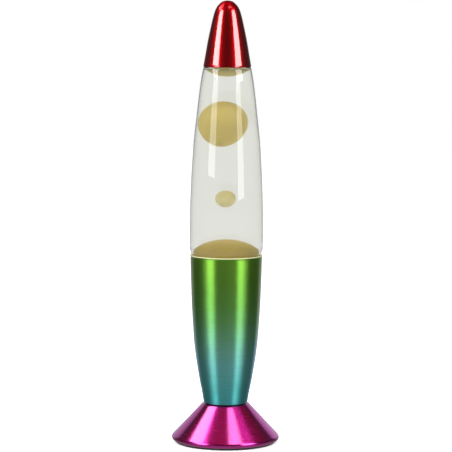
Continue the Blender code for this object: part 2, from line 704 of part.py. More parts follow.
def make_cap():
    """A bullet-shaped cover of pressed sheet, open underneath."""
    outer = [(CAP_RIM_RADIUS, CAP_RIM_HEIGHT), (21.15, 355.5), (18.25, 372.0), (16.05, 383.0), (13.45, 394.0)]
    outer += [(11.2, 401.4), (8.75, 405.7), (5.4, 408.6), (2.6, 409.7), (0.0, TOTAL_HEIGHT)]
    inner = inset(outer, CAP_SHEET)
    inner[0] = (CAP_RIM_RADIUS - CAP_SHEET, CAP_RIM_HEIGHT)
    inner[-1] = (0.0, TOTAL_HEIGHT - CAP_SHEET)
    turned("top_cap", list(reversed(outer)) + inner, LARGE, finish("red_lacquer", RED_LACQUER))


def main():
    clear_scene()
    make_foot_cone()
    make_cord_gland()
    make_foot_ring()
    make_base_cover()
    make_tie_tube()
    make_nuts_and_washers()
    make_waist_ring()
    make_cup()
    make_holder_base()
    make_holder_sleeve()
    make_holder_core()
    make_terminal_screws()
    make_centre_contact()
    make_thread_shell()
    make_bulb_base()
    make_bulb_envelope()
    make_bulb_filament()
    make_bottle()
    make_wax_pool()
    make_wire_coil()
    make_blob("wax_blob_large", LARGE_BLOB_CENTRE, LARGE_BLOB_RADIUS, LARGE_BLOB_HALF_HEIGHT)
    make_blob("wax_blob_small", SMALL_BLOB_CENTRE, SMALL_BLOB_RADIUS, SMALL_BLOB_HALF_HEIGHT)
    make_top_wax()
    make_closure()
    make_cap()


main()
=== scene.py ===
"""A lava lamp's looks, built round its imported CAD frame.

The visible pieces are turned again from fine outlines, in the places that the frame gives. Outlines are in
millimetres, as (radius, height above the piece's own lowest point), and become metres when a mesh is made.
"""

import json
import math

import bmesh
import bpy
from mathutils import Matrix, Vector


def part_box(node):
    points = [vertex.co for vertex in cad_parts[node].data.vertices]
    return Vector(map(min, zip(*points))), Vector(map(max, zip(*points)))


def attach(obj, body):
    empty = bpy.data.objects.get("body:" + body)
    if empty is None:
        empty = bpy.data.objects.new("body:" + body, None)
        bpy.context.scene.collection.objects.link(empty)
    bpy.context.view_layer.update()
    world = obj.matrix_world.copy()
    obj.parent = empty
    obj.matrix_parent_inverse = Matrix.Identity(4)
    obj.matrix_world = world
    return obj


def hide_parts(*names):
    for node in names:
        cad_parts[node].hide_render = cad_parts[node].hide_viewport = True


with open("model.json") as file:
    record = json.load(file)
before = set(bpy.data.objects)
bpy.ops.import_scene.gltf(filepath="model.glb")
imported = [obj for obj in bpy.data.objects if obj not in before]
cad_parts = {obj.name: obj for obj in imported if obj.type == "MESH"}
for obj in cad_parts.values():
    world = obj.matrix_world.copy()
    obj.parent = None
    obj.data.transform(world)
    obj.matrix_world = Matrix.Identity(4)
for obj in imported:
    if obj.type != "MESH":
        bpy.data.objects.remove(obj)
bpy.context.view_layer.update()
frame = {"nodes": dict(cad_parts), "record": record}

MM = 0.001

# Facets round the axis, and the angle in degrees past which an edge is sharp
FINE = 192
PLAIN = 96
SHARP = 40

# Most of a noise texture's values are between these
NOISE = (0.3, 0.7)

# The hole for the lamp tube, in the cup, the foot and the ring between them
TUBE_HOLE = 5.3
FOOT_RING_INNER = 42.5

# The bottle
GLASS_WALL = 2.0
KICK = 1.6
FILL_HEIGHT = 227.0
LIQUID_OVERLAP = 0.06
GLASS_IOR = 1.5
LIQUID_IOR = 1.333

# The camera, in metres and degrees
CAMERA_DISTANCE = 2.130
CAMERA_HEIGHT = 0.418
AIM_HEIGHT = 0.202
CAMERA_ROLL = 0.30
CAMERA_LENS = 184.05
AIM_ASIDE = -0.0004

# What each kind of ray meets where it leaves the scene
BACKDROP = (1.0, 1.0, 1.0, 1)
SEEN_THROUGH_GLASS = (0.82, 0.82, 0.79, 1)
SOFT_FILL = (0.85, 0.85, 0.85, 1)
FLOOR_LIFT = 0.3

# How bright the room looks in shiny surfaces: stops of (share, brightness), from the front round to the back
# of the room, and from level up to straight overhead
ROOM_ROUND = ((0.0, 0.03), (0.45, 0.05), (0.85, 0.05), (0.93, 0.06), (0.97, 0.28), (1.0, 0.45))
ROOM_UP = (
    (0.45, (0.0, 0.0, 0.0)),
    (0.60, (0.16, 0.03, 0.05)),
    (0.80, (0.26, 0.05, 0.08)),
    (0.92, (0.34, 0.08, 0.12)),
    (0.975, (0.52, 0.10, 0.20)),
)
# How the floor looks in shiny surfaces: a painted glow by place on it, brightest at the front, dimmest
# behind
FLOOR_ROUND = ((0.0, 0.42), (0.30, 0.26), (0.45, 0.16), (0.80, 0.15), (0.95, 0.18), (1.0, 0.25))

# Standing softboxes: name, bearing from the front in degrees, distance, width, low and high ends in metres,
# strength, colour
WHITE = (1.0, 1.0, 1.0)
LAVENDER = (1.0, 0.76, 1.14)
SOFTBOXES = (
    ("left_middle", -51.0, 1.25, 0.52, 0.26, 0.65, 4.4, WHITE),
    ("right_middle", 47.0, 1.25, 0.46, 0.21, 0.60, 4.4, WHITE),
    ("left_high", -60.0, 1.25, 0.69, 0.66, 1.45, 9.2, WHITE),
    ("right_high", 58.0, 1.25, 0.72, 0.61, 1.45, 7.8, WHITE),
    ("left_top", -99.0, 1.25, 0.82, 1.25, 2.85, 6.4, WHITE),
    ("right_top", 41.0, 1.25, 1.22, 2.3, 4.9, 4.7, WHITE),
    ("back_left", -147.0, 0.25, 0.16, 0.0, 0.16, 0.50, LAVENDER),
    ("back_right", 147.0, 0.25, 0.16, 0.0, 0.16, 0.60, LAVENDER),
)

# Where the cap's lacquer thins towards its tip, in metres
LACQUER_THINS = (0.399, 0.405)

# Each wax's tones: stops of (share, colour) between two heights in metres. The settled wax is painted darker
# lower down, as painted shade where it sits in the cup; the gathered wax is painted darker towards its top,
# as a painted shadow under the cap; the small blob is painted paler towards its bottom, as painted light;
# the large blob's tone barely changes.
POOL_WAX = (
    0.174, 0.200,
    ((0.0, (0.16, 0.105, 0.001)), (0.35, (0.20, 0.137, 0.002)), (1.0, (0.345, 0.265, 0.055))),
)
POOL_SHEEN = 0.2
TOP_WAX = (0.341, 0.348, ((0.0, (0.30, 0.24, 0.07)), (1.0, (0.14, 0.13, 0.055))))
LARGE_WAX = (0.27, 0.32, ((0.0, (0.32, 0.243, 0.057)), (1.0, (0.33, 0.252, 0.060))))
SMALL_WAX = (0.220, 0.230, ((0.0, (0.45, 0.41, 0.23)), (1.0, (0.335, 0.285, 0.12))))

NODE_SLOT = {part["node"]: part["material_slot"] for part in frame["record"]["subparts"]}
NODE_BODY = {node: body for body, nodes in frame["record"]["behaviour"]["bodies"].items() for node in nodes}


# ---------------------------------------------------------------- meshes


def low_end(node):
    """The height of a CAD node's lowest point, in millimetres."""
    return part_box(node)[0][2] / MM


def high_end(node):
    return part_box(node)[1][2] / MM


def arc(centre, radius, start, end, steps):
    """Points on a circle from one angle to another, in degrees, both ends included."""
    angles = [math.radians(start + (end - start) * i / steps) for i in range(steps + 1)]
    return [(centre[0] + radius * math.cos(a), centre[1] + radius * math.sin(a)) for a in angles]


def beyond(end, inner):
    """The point that continues a line past its end: mirrored where the end is on the axis."""
    if abs(end[0]) < 1e-6:
        return (-inner[0], inner[1])
    return (2 * end[0] - inner[0], 2 * end[1] - inner[1])


def through(points, spans):
    """A smooth Catmull-Rom line through the points, with this many steps between each pair."""
    ends = [beyond(points[0], points[1]), *points, beyond(points[-1], points[-2])]
    line = []
    for a, b, c, d in zip(ends, ends[1:], ends[2:], ends[3:]):
        for i in range(spans):
            t = i / spans
            weights = (
                (-t + 2 * t**2 - t**3) / 2,
                (2 - 5 * t**2 + 3 * t**3) / 2,
                (t + 4 * t**2 - 3 * t**3) / 2,
                (t**3 - t**2) / 2,
            )
            line.append(tuple(sum(w * p[k] for w, p in zip(weights, (a, b, c, d))) for k in (0, 1)))
    return line + [points[-1]]


def inset(line, distance):
    """The line moved to its left as it runs, for the other face of a wall."""
    moved = []
    for i, (r, z) in enumerate(line):
        before = line[max(i - 1, 0)]
        after = line[min(i + 1, len(line) - 1)]
        run = Vector((after[0] - before[0], after[1] - before[1])).normalized()
        moved.append((max(r - run.y * distance, 0.0), z + run.x * distance))
    return moved


def ridge(points, radius, steps=4):
    """The outline with each of its corners rounded to this radius, where there is room."""
    rounded = [points[0]]
    for before, corner, after in zip(points, points[1:], points[2:]):
        to_before = Vector(before) - Vector(corner)
        to_after = Vector(after) - Vector(corner)
        turn = math.pi - to_before.angle(to_after)
        if turn < math.radians(12):
            rounded.append(corner)
            continue
        reach = min(radius * math.tan(turn / 2), to_before.length * 0.45, to_after.length * 0.45)
        start = Vector(corner) + to_before.normalized() * reach
        end = Vector(corner) + to_after.normalized() * reach
        for i in range(steps + 1):
            t = i / steps
            bend = start * (1 - t) ** 2 + Vector(corner) * (2 * t * (1 - t)) + end * t**2
            rounded.append(tuple(bend))
    return rounded + [points[-1]]


def spun(outline, facets):
    """A bmesh made by turning an outline about Z. It is closed unless it starts and ends on the axis."""
    bm = bmesh.new()
    verts = [bm.verts.new((radius, 0, height)) for radius, height in outline]
    edges = [bm.edges.new(pair) for pair in zip(verts, verts[1:])]
    if outline[0][0] > 0 or outline[-1][0] > 0:
        edges.append(bm.edges.new((verts[-1], verts[0])))
    turn = {"cent": (0, 0, 0), "axis": (0, 0, 1), "angle": 2 * math.pi, "steps": facets}
    bmesh.ops.spin(bm, geom=verts + edges, use_merge=True, **turn)
    bmesh.ops.remove_doubles(bm, verts=bm.verts, dist=1e-4)
    bmesh.ops.recalc_face_normals(bm, faces=bm.faces)
    return bm


def placed(name, bm, materials, node, lift=0.0):
    """The object for a bmesh in millimetres, lifted into its place. It rides on a CAD node's body."""
    bmesh.ops.translate(bm, vec=(0, 0, lift), verts=bm.verts)
    bmesh.ops.scale(bm, vec=(MM, MM, MM), verts=bm.verts)
    mesh = bpy.data.meshes.new(name)
    bm.to_mesh(mesh)
    bm.free()
    mesh.shade_smooth()
    for material in materials:
        mesh.materials.append(material)
    obj = bpy.data.objects.new(name, mesh)
    bpy.context.scene.collection.objects.link(obj)
    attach(obj, NODE_BODY[node])
    return obj


def piece(name, bm, materials, node, lift=0.0):
    """A placed object that stands for its CAD node."""
    obj = placed(name, bm, materials, node, lift)
    obj.data.set_sharp_from_angle(angle=math.radians(SHARP))
    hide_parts(node)
    return obj


# ---------------------------------------------------------------- materials


class Look:
    """A new material with one Principled shader, and short ways to add nodes to it."""

    def __init__(self, name, colour, roughness, metallic=0.0, **sockets):
        self.material = bpy.data.materials.new(name)
        self.material.use_nodes = True
        self.tree = self.material.node_tree
        self.shader = self.tree.nodes["Principled BSDF"]
        self.output = self.tree.nodes["Material Output"]
        self.set("Base Color", (*colour, 1))
        self.set("Roughness", roughness)
        self.set("Metallic", metallic)
        for socket, value in sockets.items():
            self.set(socket.replace("_", " ").title().replace("Ior", "IOR"), value)

    def set(self, socket, value):
        self.shader.inputs[socket].default_value = value

    def node(self, kind, **settings):
        made = self.tree.nodes.new("ShaderNode" + kind)
        for name, value in settings.items():
            setattr(made, name, value)
        return made

    def link(self, source, target):
        self.tree.links.new(source, target)

    def drive(self, socket, source):
        self.link(source, self.shader.inputs[socket])

    def position(self):
        """The place on the piece, in metres, which moves with it."""
        return self.node("TexCoord").outputs["Object"]

    def height(self):
        split = self.node("SeparateXYZ")
        self.link(self.position(), split.inputs[0])
        return split.outputs["Z"]

    def noise(self, scale, stretch=(1, 1, 1), detail=3.0, rough=0.5):
        """Noise from 0 to 1, with this many bumps to a metre along each axis."""
        mapping = self.node("Mapping")
        mapping.inputs["Scale"].default_value = stretch
        texture = self.node("TexNoise")
        texture.inputs["Scale"].default_value = scale
        texture.inputs["Detail"].default_value = detail
        texture.inputs["Roughness"].default_value = rough
        self.link(self.position(), mapping.inputs["Vector"])
        self.link(mapping.outputs["Vector"], texture.inputs["Vector"])
        return texture.outputs["Fac"]

    def between(self, source, low, high, start=0.0, stop=1.0):
        """The source's range start to stop, moved to low to high."""
        ranged = self.node("MapRange")
        ranged.inputs["From Min"].default_value = start
        ranged.inputs["From Max"].default_value = stop
        ranged.inputs["To Min"].default_value = low
        ranged.inputs["To Max"].default_value = high
        self.link(source, ranged.inputs["Value"])
        return ranged.outputs["Result"]

    def times(self, colour, factor):
        """The colour, brightened or darkened by a factor."""
        scale = self.node("VectorMath", operation="SCALE")
        self.link(colour, scale.inputs[0])
        self.link(factor, scale.inputs["Scale"])
        return scale.outputs[0]

    def ramp(self, source, stops):
        """A colour for each value of the source. Stops are (position, colour)."""
        ramp = self.node("ValToRGB")
        elements = ramp.color_ramp.elements
        while len(elements) < len(stops):
            elements.new(0.5)
        for element, (position, colour) in zip(elements, stops):
            element.position = position
            element.color = (*colour, 1)
        self.link(source, ramp.inputs["Fac"])
        return ramp.outputs["Color"]

    def bump(self, source, strength, distance):
        bump = self.node("Bump")
        bump.inputs["Strength"].default_value = strength
        bump.inputs["Distance"].default_value = distance
        self.link(source, bump.inputs["Height"])
        self.drive("Normal", bump.outputs["Normal"])


def turned_metal(look, colour, fine_lines=0.08):
    """Gives a look the fine rings that spinning leaves, which pull highlights out along the profile."""
    tangent = look.node("Tangent", direction_type="RADIAL", axis="Z")
    look.drive("Tangent", tangent.outputs["Tangent"])
    rings = look.noise(60, stretch=(1, 1, 34), detail=4.0, rough=0.7)
    factor = look.between(rings, 1 - fine_lines, 1 + fine_lines, *NOISE)
    look.drive("Base Color", look.times(colour, factor))
    return rings


def green_metal():
    """Anodised aluminium, yellow-green at the rim, through green, to teal at the waist."""
    look = Look("green_metal", (0.2, 0.5, 0.2), 0.36, 1.0, anisotropic=0.93, anisotropic_rotation=0.25)
    low, high = low_end("cup") * MM, high_end("cup") * MM
    share = look.between(look.height(), 0.0, 1.0, low, high)
    stops = (
        (0.04, (0.115, 0.63, 0.62)),
        (0.16, (0.155, 0.64, 0.61)),
        (0.28, (0.205, 0.64, 0.59)),
        (0.37, (0.225, 0.635, 0.48)),
        (0.46, (0.215, 0.60, 0.33)),
        (0.56, (0.20, 0.55, 0.19)),
        (0.67, (0.185, 0.50, 0.10)),
        (0.84, (0.195, 0.49, 0.062)),
        (0.96, (0.22, 0.52, 0.056)),
    )
    rings = turned_metal(look, look.ramp(share, stops))
    look.drive("Roughness", look.between(rings, 0.32, 0.41, *NOISE))
    look.bump(rings, 0.12, 0.00004)
    return look.material


def magenta_metal():
    look = Look(
        "magenta_metal", (0.6, 0.05, 0.3), 0.28, 1.0,
        anisotropic=0.75, anisotropic_rotation=0.25, coat_weight=1.0, coat_roughness=0.12, coat_ior=1.5,
    )
    patches = look.noise(30, detail=2.0)
    tone = look.ramp(patches, ((0.3, (0.58, 0.014, 0.275)), (0.7, (0.60, 0.020, 0.325))))
    rings = turned_metal(look, tone, 0.07)
    look.drive("Roughness", look.between(rings, 0.23, 0.28, *NOISE))
    look.bump(rings, 0.05, 0.00004)
    return look.material


def red_lacquer():
    """Clear red lacquer over bright spun metal, thin at the tip."""
    look = Look(
        "red_lacquer", (0.4, 0.0, 0.01), 0.4, 1.0,
        anisotropic=0.5, anisotropic_rotation=0.25, coat_weight=1.0, coat_roughness=0.06, coat_ior=1.8,
    )
    patches = look.noise(30, detail=2.0)
    tone = look.ramp(patches, ((0.3, (0.37, 0.0008, 0.003)), (0.7, (0.40, 0.001, 0.004))))
    rings = turned_metal(look, tone, 0.10)
    look.drive("Roughness", look.between(rings, 0.36, 0.44, *NOISE))
    look.drive("Coat Weight", look.between(look.height(), 1.0, 0.1, *LACQUER_THINS))
    return look.material


def bare_rim_and_highlight():
    """The cup's rolled rim bead in bare pale metal: its pale gold colour is partly the bead's own and partly
    a painted highlight along the rim.
    """
    look = Look("bare_rim_and_highlight", (0.60, 0.62, 0.36), 0.6, 0.6)
    specks = look.noise(900, detail=3.0)
    look.drive("Roughness", look.between(specks, 0.54, 0.70, *NOISE))
    return look.material


def lets_light_in(look):
    """Lamps and soft light pass this clear material in straight lines, so they reach what is inside."""
    clear = look.node("BsdfTransparent")
    clear.inputs["Color"].default_value = (0.97, 0.975, 0.96, 1)
    rays = look.node("LightPath")
    either = look.node("Math", operation="MAXIMUM")
    mix = look.node("MixShader")
    look.link(rays.outputs["Is Shadow Ray"], either.inputs[0])
    look.link(rays.outputs["Is Diffuse Ray"], either.inputs[1])
    look.link(either.outputs[0], mix.inputs["Fac"])
    look.link(look.shader.outputs["BSDF"], mix.inputs[1])
    look.link(clear.outputs["BSDF"], mix.inputs[2])
    look.link(mix.outputs["Shader"], look.output.inputs["Surface"])
    return look.material


def clear_glass():
    look = Look("clear_glass", (0.99, 0.995, 0.985), 0.0, transmission_weight=1.0, ior=GLASS_IOR)
    return lets_light_in(look)


def clear_liquid():
    look = Look("clear_liquid", (0.965, 0.97, 0.95), 0.0, transmission_weight=1.0, ior=LIQUID_IOR)
    return lets_light_in(look)


def wax(name, low, high, stops, sheen=0.6):
    """Ochre wax: slightly see-through at its edges, with faint cloudiness. Its tone changes between two
    heights, in metres."""
    look = Look(
        name, stops[-1][1], 0.5,
        subsurface_weight=0.35, subsurface_scale=0.004, specular_ior_level=0.3,
        sheen_weight=sheen, sheen_roughness=0.22,
    )
    look.set("Subsurface Radius", (1.0, 0.75, 0.35))
    look.set("Sheen Tint", (1.0, 0.95, 0.75, 1))
    clouds = look.between(look.noise(45, detail=4.0), 0.93, 1.07, 0.35, 0.65)
    # The tone by height is painted shade and painted light, as each wax's tone stops give it
    tone = look.ramp(look.between(look.height(), 0.0, 1.0, low, high), stops)
    look.drive("Base Color", look.times(tone, clouds))
    return look.material


def plain_metal(name, colour, roughness):
    """Metal with fine scuffs."""
    look = Look(name, colour, roughness, 1.0)
    scuffs = look.noise(700, detail=4.0)
    look.drive("Roughness", look.between(scuffs, roughness - 0.07, roughness + 0.1, *NOISE))
    look.bump(scuffs, 0.06, 0.00003)
    return look.material


def moulded(name, colour, roughness, grain=1500, depth=0.00005):
    """Moulded plastic or rubber with a fine grain."""
    look = Look(name, colour, roughness)
    texture = look.noise(grain, detail=2.0)
    look.drive("Roughness", look.between(texture, roughness - 0.06, roughness + 0.08, *NOISE))
    look.bump(texture, 0.25, depth)
    return look.material


def porcelain():
    look = Look("porcelain", (0.85, 0.83, 0.77), 0.2, coat_weight=0.5, coat_roughness=0.08)
    specks = look.noise(500, detail=3.0)
    look.drive("Base Color", look.ramp(specks, ((0.3, (0.82, 0.79, 0.73)), (0.7, (0.87, 0.85, 0.8)))))
    return look.material


def bulb_glass():
    """Thin clear glass, which lamps shine through."""
    look = Look("bulb_glass", (0.97, 0.97, 0.96), 0.02, transmission_weight=1.0, ior=1.45)
    look.bump(look.noise(60, detail=1.0), 0.05, 0.0003)
    return lets_light_in(look)


LOOKS = {
    "green_metal": green_metal(),
    "magenta_metal": magenta_metal(),
    "red_lacquer": red_lacquer(),
    "clear_glass": clear_glass(),
    "bulb_glass": bulb_glass(),
    "wax": wax("wax", *LARGE_WAX),
    "steel": plain_metal("steel", (0.62, 0.62, 0.6), 0.3),
    "brass": plain_metal("brass", (0.72, 0.52, 0.24), 0.3),
    "tungsten": plain_metal("tungsten", (0.3, 0.3, 0.32), 0.4),
    "black_plastic": moulded("black_plastic", (0.02, 0.02, 0.022), 0.45),
    "black_rubber": moulded("black_rubber", (0.022, 0.022, 0.022), 0.75, grain=2200),
    "black_glass": moulded(
        "black_glass", (0.015, 0.015, 0.02), 0.12, grain=300, depth=0.00001,
    ),
    "white_liner": moulded("white_liner", (0.8, 0.79, 0.75), 0.5),
    "porcelain": porcelain(),
}


# ---------------------------------------------------------------- pieces


def make_cap():
    """The bullet-shaped cap, with its lower edge rolled smooth."""
    wall = 0.8
    outer = through(
        [
            (22.05, 1.2), (20.15, 12.0), (18.25, 23.0), (16.0, 34.0), (13.5, 45.0), (11.25, 52.3),
            (8.8, 56.4), (5.4, 59.6), (2.6, 60.7), (0.0, 61.0),
        ],
        8,
    )
    inner = inset(outer, wall)
    inner[-1] = (0.0, outer[-1][1] - wall)
    lip_radius, lip_height = 0.42, 0.45
    lip = arc((outer[0][0] - wall / 2 + 0.05, lip_height), lip_radius, 20, -200, 10)
    outline = list(reversed(outer)) + lip + inner
    piece("cap_shell", spun(outline, FINE), [LOOKS["red_lacquer"]], "top_cap", low_end("top_cap"))


def bottle_outer():
    """The bottle's outer face, above its lowest point."""
    foot = [(0.0, KICK), (8.0, 1.5), (14.0, 1.1), (18.6, 0.15)]
    heel = arc((22.6, 5.0), 5.0, -98, -12, 8)
    body = [
        (28.6, 11.0), (30.5, 28.0), (31.3, 42.0), (31.62, 44.6), (32.35, 46.6), (33.25, 49.0), (33.85, 53.0),
        (33.98, 64.0), (33.73, 87.0), (33.1, 105.0), (32.2, 125.0), (30.5, 151.0), (28.45, 170.3),
        (26.45, 188.7), (24.55, 204.0), (22.85, 214.5), (22.3, 217.2),
    ]
    shoulder = [(21.9, 218.2), (20.3, 219.3), (18.5, 221.3), (15.4, 223.6), (12.7, 226.4), (12.1, 229.3)]
    finish = [(13.2, 230.9), (13.3, 232.6), (13.3, 234.6), (12.4, 236.3)]
    return through(foot, 3)[:-1] + heel + through(body, 6) + through(shoulder, 5) + through(finish, 4)


def bottle_inner():
    """The bottle's inner face."""
    mouth_radius, shoulder_height, spacing = 9.6, 216.0, 3.0
    face = [(0.0, KICK + GLASS_WALL)]
    for point in inset(bottle_outer(), GLASS_WALL):
        if point[1] < shoulder_height and math.dist(point, face[-1]) > spacing:
            face.append(point)
    face += [(20.0, 216.6), (18.0, 219.2), (14.0, 221.9), (10.7, 225.2), (mouth_radius, 229.0)]
    return through(face, 3) + [(mouth_radius, 232.0), (mouth_radius, 235.6), (10.6, 236.4)]


def make_bottle():
    outline = bottle_outer() + list(reversed(bottle_inner()))
    bm = spun(outline, FINE)
    piece("glass_bottle_fine", bm, [LOOKS["clear_glass"]], "glass_bottle", low_end("glass_bottle"))


def make_liquid():
    """The liquid, which reaches a hair into the glass so that no air shows between them."""
    side = [p for p in inset(bottle_inner(), -LIQUID_OVERLAP) if p[1] < FILL_HEIGHT]
    side[0] = (0.0, side[0][1])
    surface = side[-1][1]
    outline = side + [(side[-1][0] - 0.8, surface - 0.5), (0.0, surface - 0.6)]
    placed("liquid", spun(outline, FINE), [clear_liquid()], "glass_bottle", low_end("glass_bottle"))


def make_pool():
    """The settled wax, with its dome above the cup's rim and a groove below for the wire coil."""
    curve, dome_start = 30.0, 17.5
    wall_gap, floor_gap = 0.3, 2.0
    coil_radius, coil_room, groove_height, floor_radius = 14.0, 3.6, 7.2, 22.0
    top = high_end("wax_pool") - low_end("wax_pool")
    dome = arc((0.0, top - curve), curve, dome_start, 90, 40)
    dome[-1] = (0.0, top)
    lift = low_end("glass_bottle") - low_end("wax_pool")
    face = [(r, z + lift) for r, z in inset(bottle_outer(), GLASS_WALL + wall_gap)]
    side = [(r, z) for r, z in face if floor_gap < z < dome[0][1] - 1.0]
    groove_in, groove_out = coil_radius - coil_room, coil_radius + coil_room
    floor = [(0.0, 0.0), (groove_in, 0.0), (groove_in, groove_height)]
    floor += [(groove_out, groove_height), (groove_out, 0.0), (floor_radius, 0.0)]
    bm = spun(floor + side + dome, PLAIN)
    piece("wax_pool_fine", bm, [wax("pool_wax", *POOL_WAX, POOL_SHEEN)], "wax_pool", low_end("wax_pool"))


def make_top_wax():
    """The wax gathered under the bottle's shoulder, with its belly down."""
    curve, belly_end = 22.8, -38.8
    belly = arc((0.0, curve), curve, -90, belly_end, 24)
    belly[0] = (0.0, 0.0)
    upper = through([belly[-1], (16.8, 10.0), (13.0, 12.0), (8.6, 13.4), (0.0, 13.8)], 5)
    bm = spun(belly + upper[1:], PLAIN)
    piece("wax_top_fine", bm, [wax("top_wax", *TOP_WAX)], "wax_top", low_end("wax_top"))


def make_blob(node, look, lean, uneven):
    """A loose piece of wax in its CAD piece's box: an egg, leaning and a little uneven."""
    low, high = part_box(node)
    middle = (Vector(low) + Vector(high)) / 2
    half = (Vector(high) - Vector(low)) / 2
    bm = bmesh.new()
    bmesh.ops.create_icosphere(bm, subdivisions=6, radius=1.0)
    tip = Matrix.Rotation(math.radians(lean), 4, "Y")
    for vert in bm.verts:
        x, y, z = vert.co
        swell = 1 + uneven * (0.5 * z - 0.5 * z * z + 0.35 * math.sin(2.1 * x + 0.7) * z)
        shaped = Vector((x * half.x * swell, y * half.y * swell, z * half.z))
        vert.co = (tip @ shaped + middle) / MM
    piece(node + "_fine", bm, [look], node)


def make_closure():
    """The crown closure, with a fluted skirt and a smooth turned-over top."""
    flutes, wall, skirt, flute_depth = 21, 0.35, 4.8, 0.021
    top = high_end("crown_cap") - low_end("crown_cap")
    outer = through([(15.35, 0.0), (14.9, 2.4), (14.35, 4.6), (13.6, 5.7), (12.2, top), (6.0, top)], 5)
    inner = [(max(r - wall, 0.0), z - (wall if z > 5.5 else 0.0)) for r, z in outer]
    outline = [(0.0, top)] + list(reversed(outer)) + inner + [(0.0, top - wall)]
    bm = spun(outline, FINE)
    for vert in bm.verts:
        depth = min(1.0, max(0.0, (skirt - vert.co.z) / skirt))
        wave = math.cos(flutes * math.atan2(vert.co.y, vert.co.x))
        push = 1 + flute_depth * depth * (1 + wave)
        vert.co.x *= push
        vert.co.y *= push
    piece("crown_cap_fine", bm, [LOOKS["steel"]], "crown_cap", low_end("crown_cap"))


def make_cup():
    """The cup: a tapered wall, a rolled bright bead at the rim and a flat bottom."""
    sheet, floor_radius = 1.0, 18.6
    bead_height, bead_radius = 137.6, 0.6
    floor = low_end("cup")
    side = through(
        [
            (20.5, 1.6), (20.95, 3.4), (22.2, 10.9), (24.15, 20.3), (25.8, 29.8), (27.3, 39.2),
            (28.58, 48.6), (29.62, 58.0), (30.98, 76.9), (31.99, 95.6), (32.64, 114.3), (33.03, 128.3),
            (33.2, 136.4),
        ],
        6,
    )
    bottom_edge = arc((19.7, 0.85), 0.85, -90, -18, 4)
    bead = arc((33.0, bead_height), bead_radius, -55, 210, 16)
    inner = inset(side, sheet)
    outline = [(TUBE_HOLE, 0.0)] + bottom_edge + side + bead + list(reversed(inner))
    outline += [(floor_radius, sheet), (TUBE_HOLE, sheet)]
    obj = piece("cup_shell", spun(outline, FINE), [LOOKS["green_metal"], bare_rim_and_highlight()], "cup", floor)
    # The bead's faces take the pale rim material, whose colour is partly a painted highlight
    rim_start = (floor + bead_height - 0.35) * MM
    for face in obj.data.polygons:
        if face.center.z > rim_start:
            face.material_index = 1


def make_foot_cone():
    """The foot: a spun cone with a soft shoulder at the waist and its edge curled under. The straight wall
    runs from the shoulder to where it touches the curl."""
    sheet, hem_radius, hem_reach, hem_end = 1.0, 2.8, 0.5, -95
    shoulder_radius, shoulder_drop = 22.54, 0.8
    floor = low_end("foot_cone")
    top = high_end("foot_cone") - floor
    hem = (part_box("foot_cone")[1][0] / MM + hem_reach - hem_radius, hem_radius)
    shoulder = (shoulder_radius, top - shoulder_drop)
    lean = 43.0
    for _ in range(8):
        reach = hem_radius * math.cos(math.radians(lean)), hem_radius * math.sin(math.radians(lean))
        touch = (hem[0] + reach[0], hem[1] + reach[1])
        slope = (touch[0] - shoulder[0]) / (shoulder[1] - touch[1])
        lean = math.degrees(math.atan(slope))
    across = sheet * math.hypot(1, slope)
    inner_top = (touch[0] - slope * (top - sheet - touch[1]) - across, top - sheet)
    crest = ridge([(TUBE_HOLE, top), (shoulder[0] - shoulder_drop, top), shoulder, touch], 1.2, 6)
    steps = 24
    wall = [
        tuple(Vector(shoulder).lerp(Vector(touch), i / steps))
        for i in range(2, steps)
    ]
    curl = arc(hem, hem_radius, lean, hem_end, 28) + arc(hem, hem_radius - sheet, hem_end, lean, 20)
    outline = crest[:-1] + wall + curl + [inner_top, (TUBE_HOLE, top - sheet)]
    piece("foot_shell", spun(outline, FINE), [LOOKS["magenta_metal"]], "foot_cone", floor)


def make_rings():
    """The black ring at the waist and the rubber ring under the foot."""
    for node, name, look in (
        ("waist_ring", "waist_ring_fine", "black_plastic"),
        ("foot_ring", "foot_ring_fine", "black_rubber"),
    ):
        low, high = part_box(node)
        outer, height = high[0] / MM, (high[2] - low[2]) / MM
        inner = TUBE_HOLE if node == "waist_ring" else FOOT_RING_INNER
        middle = (inner + outer) / 2
        ring = [(outer, 0.0), (outer, height), (inner, height), (inner, 0.0)]
        outline = [(middle, 0.0), *ring, (middle, 0.0)]
        bm = spun(ridge(outline, 0.3)[:-1], FINE)
        piece(name, bm, [LOOKS[look]], node, low[2] / MM)


def dress_cad_nodes():
    """Gives every CAD node its slot's material. Those that a finer piece replaces aren't shown."""
    for node, obj in frame["nodes"].items():
        for material_slot in obj.material_slots:
            material_slot.material = LOOKS[NODE_SLOT[node]]


# ---------------------------------------------------------------- the studio


def emitter(name, colour, strength):
    material = bpy.data.materials.new(name)
    material.use_nodes = True
    nodes = material.node_tree.nodes
    nodes.clear()
    glow = nodes.new("ShaderNodeEmission")
    glow.inputs["Color"].default_value = colour
    glow.inputs["Strength"].default_value = strength
    output = nodes.new("ShaderNodeOutputMaterial")
    material.node_tree.links.new(glow.outputs["Emission"], output.inputs["Surface"])
    return material


def make_softbox(name, bearing, distance, width, low, high, strength, colour):
    """A standing panel of light that faces the lamp. It lights and is reflected, but isn't seen itself."""
    mesh = bpy.data.meshes.new(name)
    half = width / 2
    corners = [(-half, 0, low), (half, 0, low), (half, 0, high), (-half, 0, high)]
    mesh.from_pydata(corners, [], [(3, 2, 1, 0)])
    mesh.materials.append(emitter(name, (*colour, 1), strength))
    obj = bpy.data.objects.new(name, mesh)
    angle = math.radians(bearing)
    obj.location = (distance * math.sin(angle), -distance * math.cos(angle), 0)
    obj.rotation_euler = (0, 0, angle)
    obj.visible_camera = False
    obj.visible_transmission = False
    obj.visible_shadow = False
    bpy.context.scene.collection.objects.link(obj)


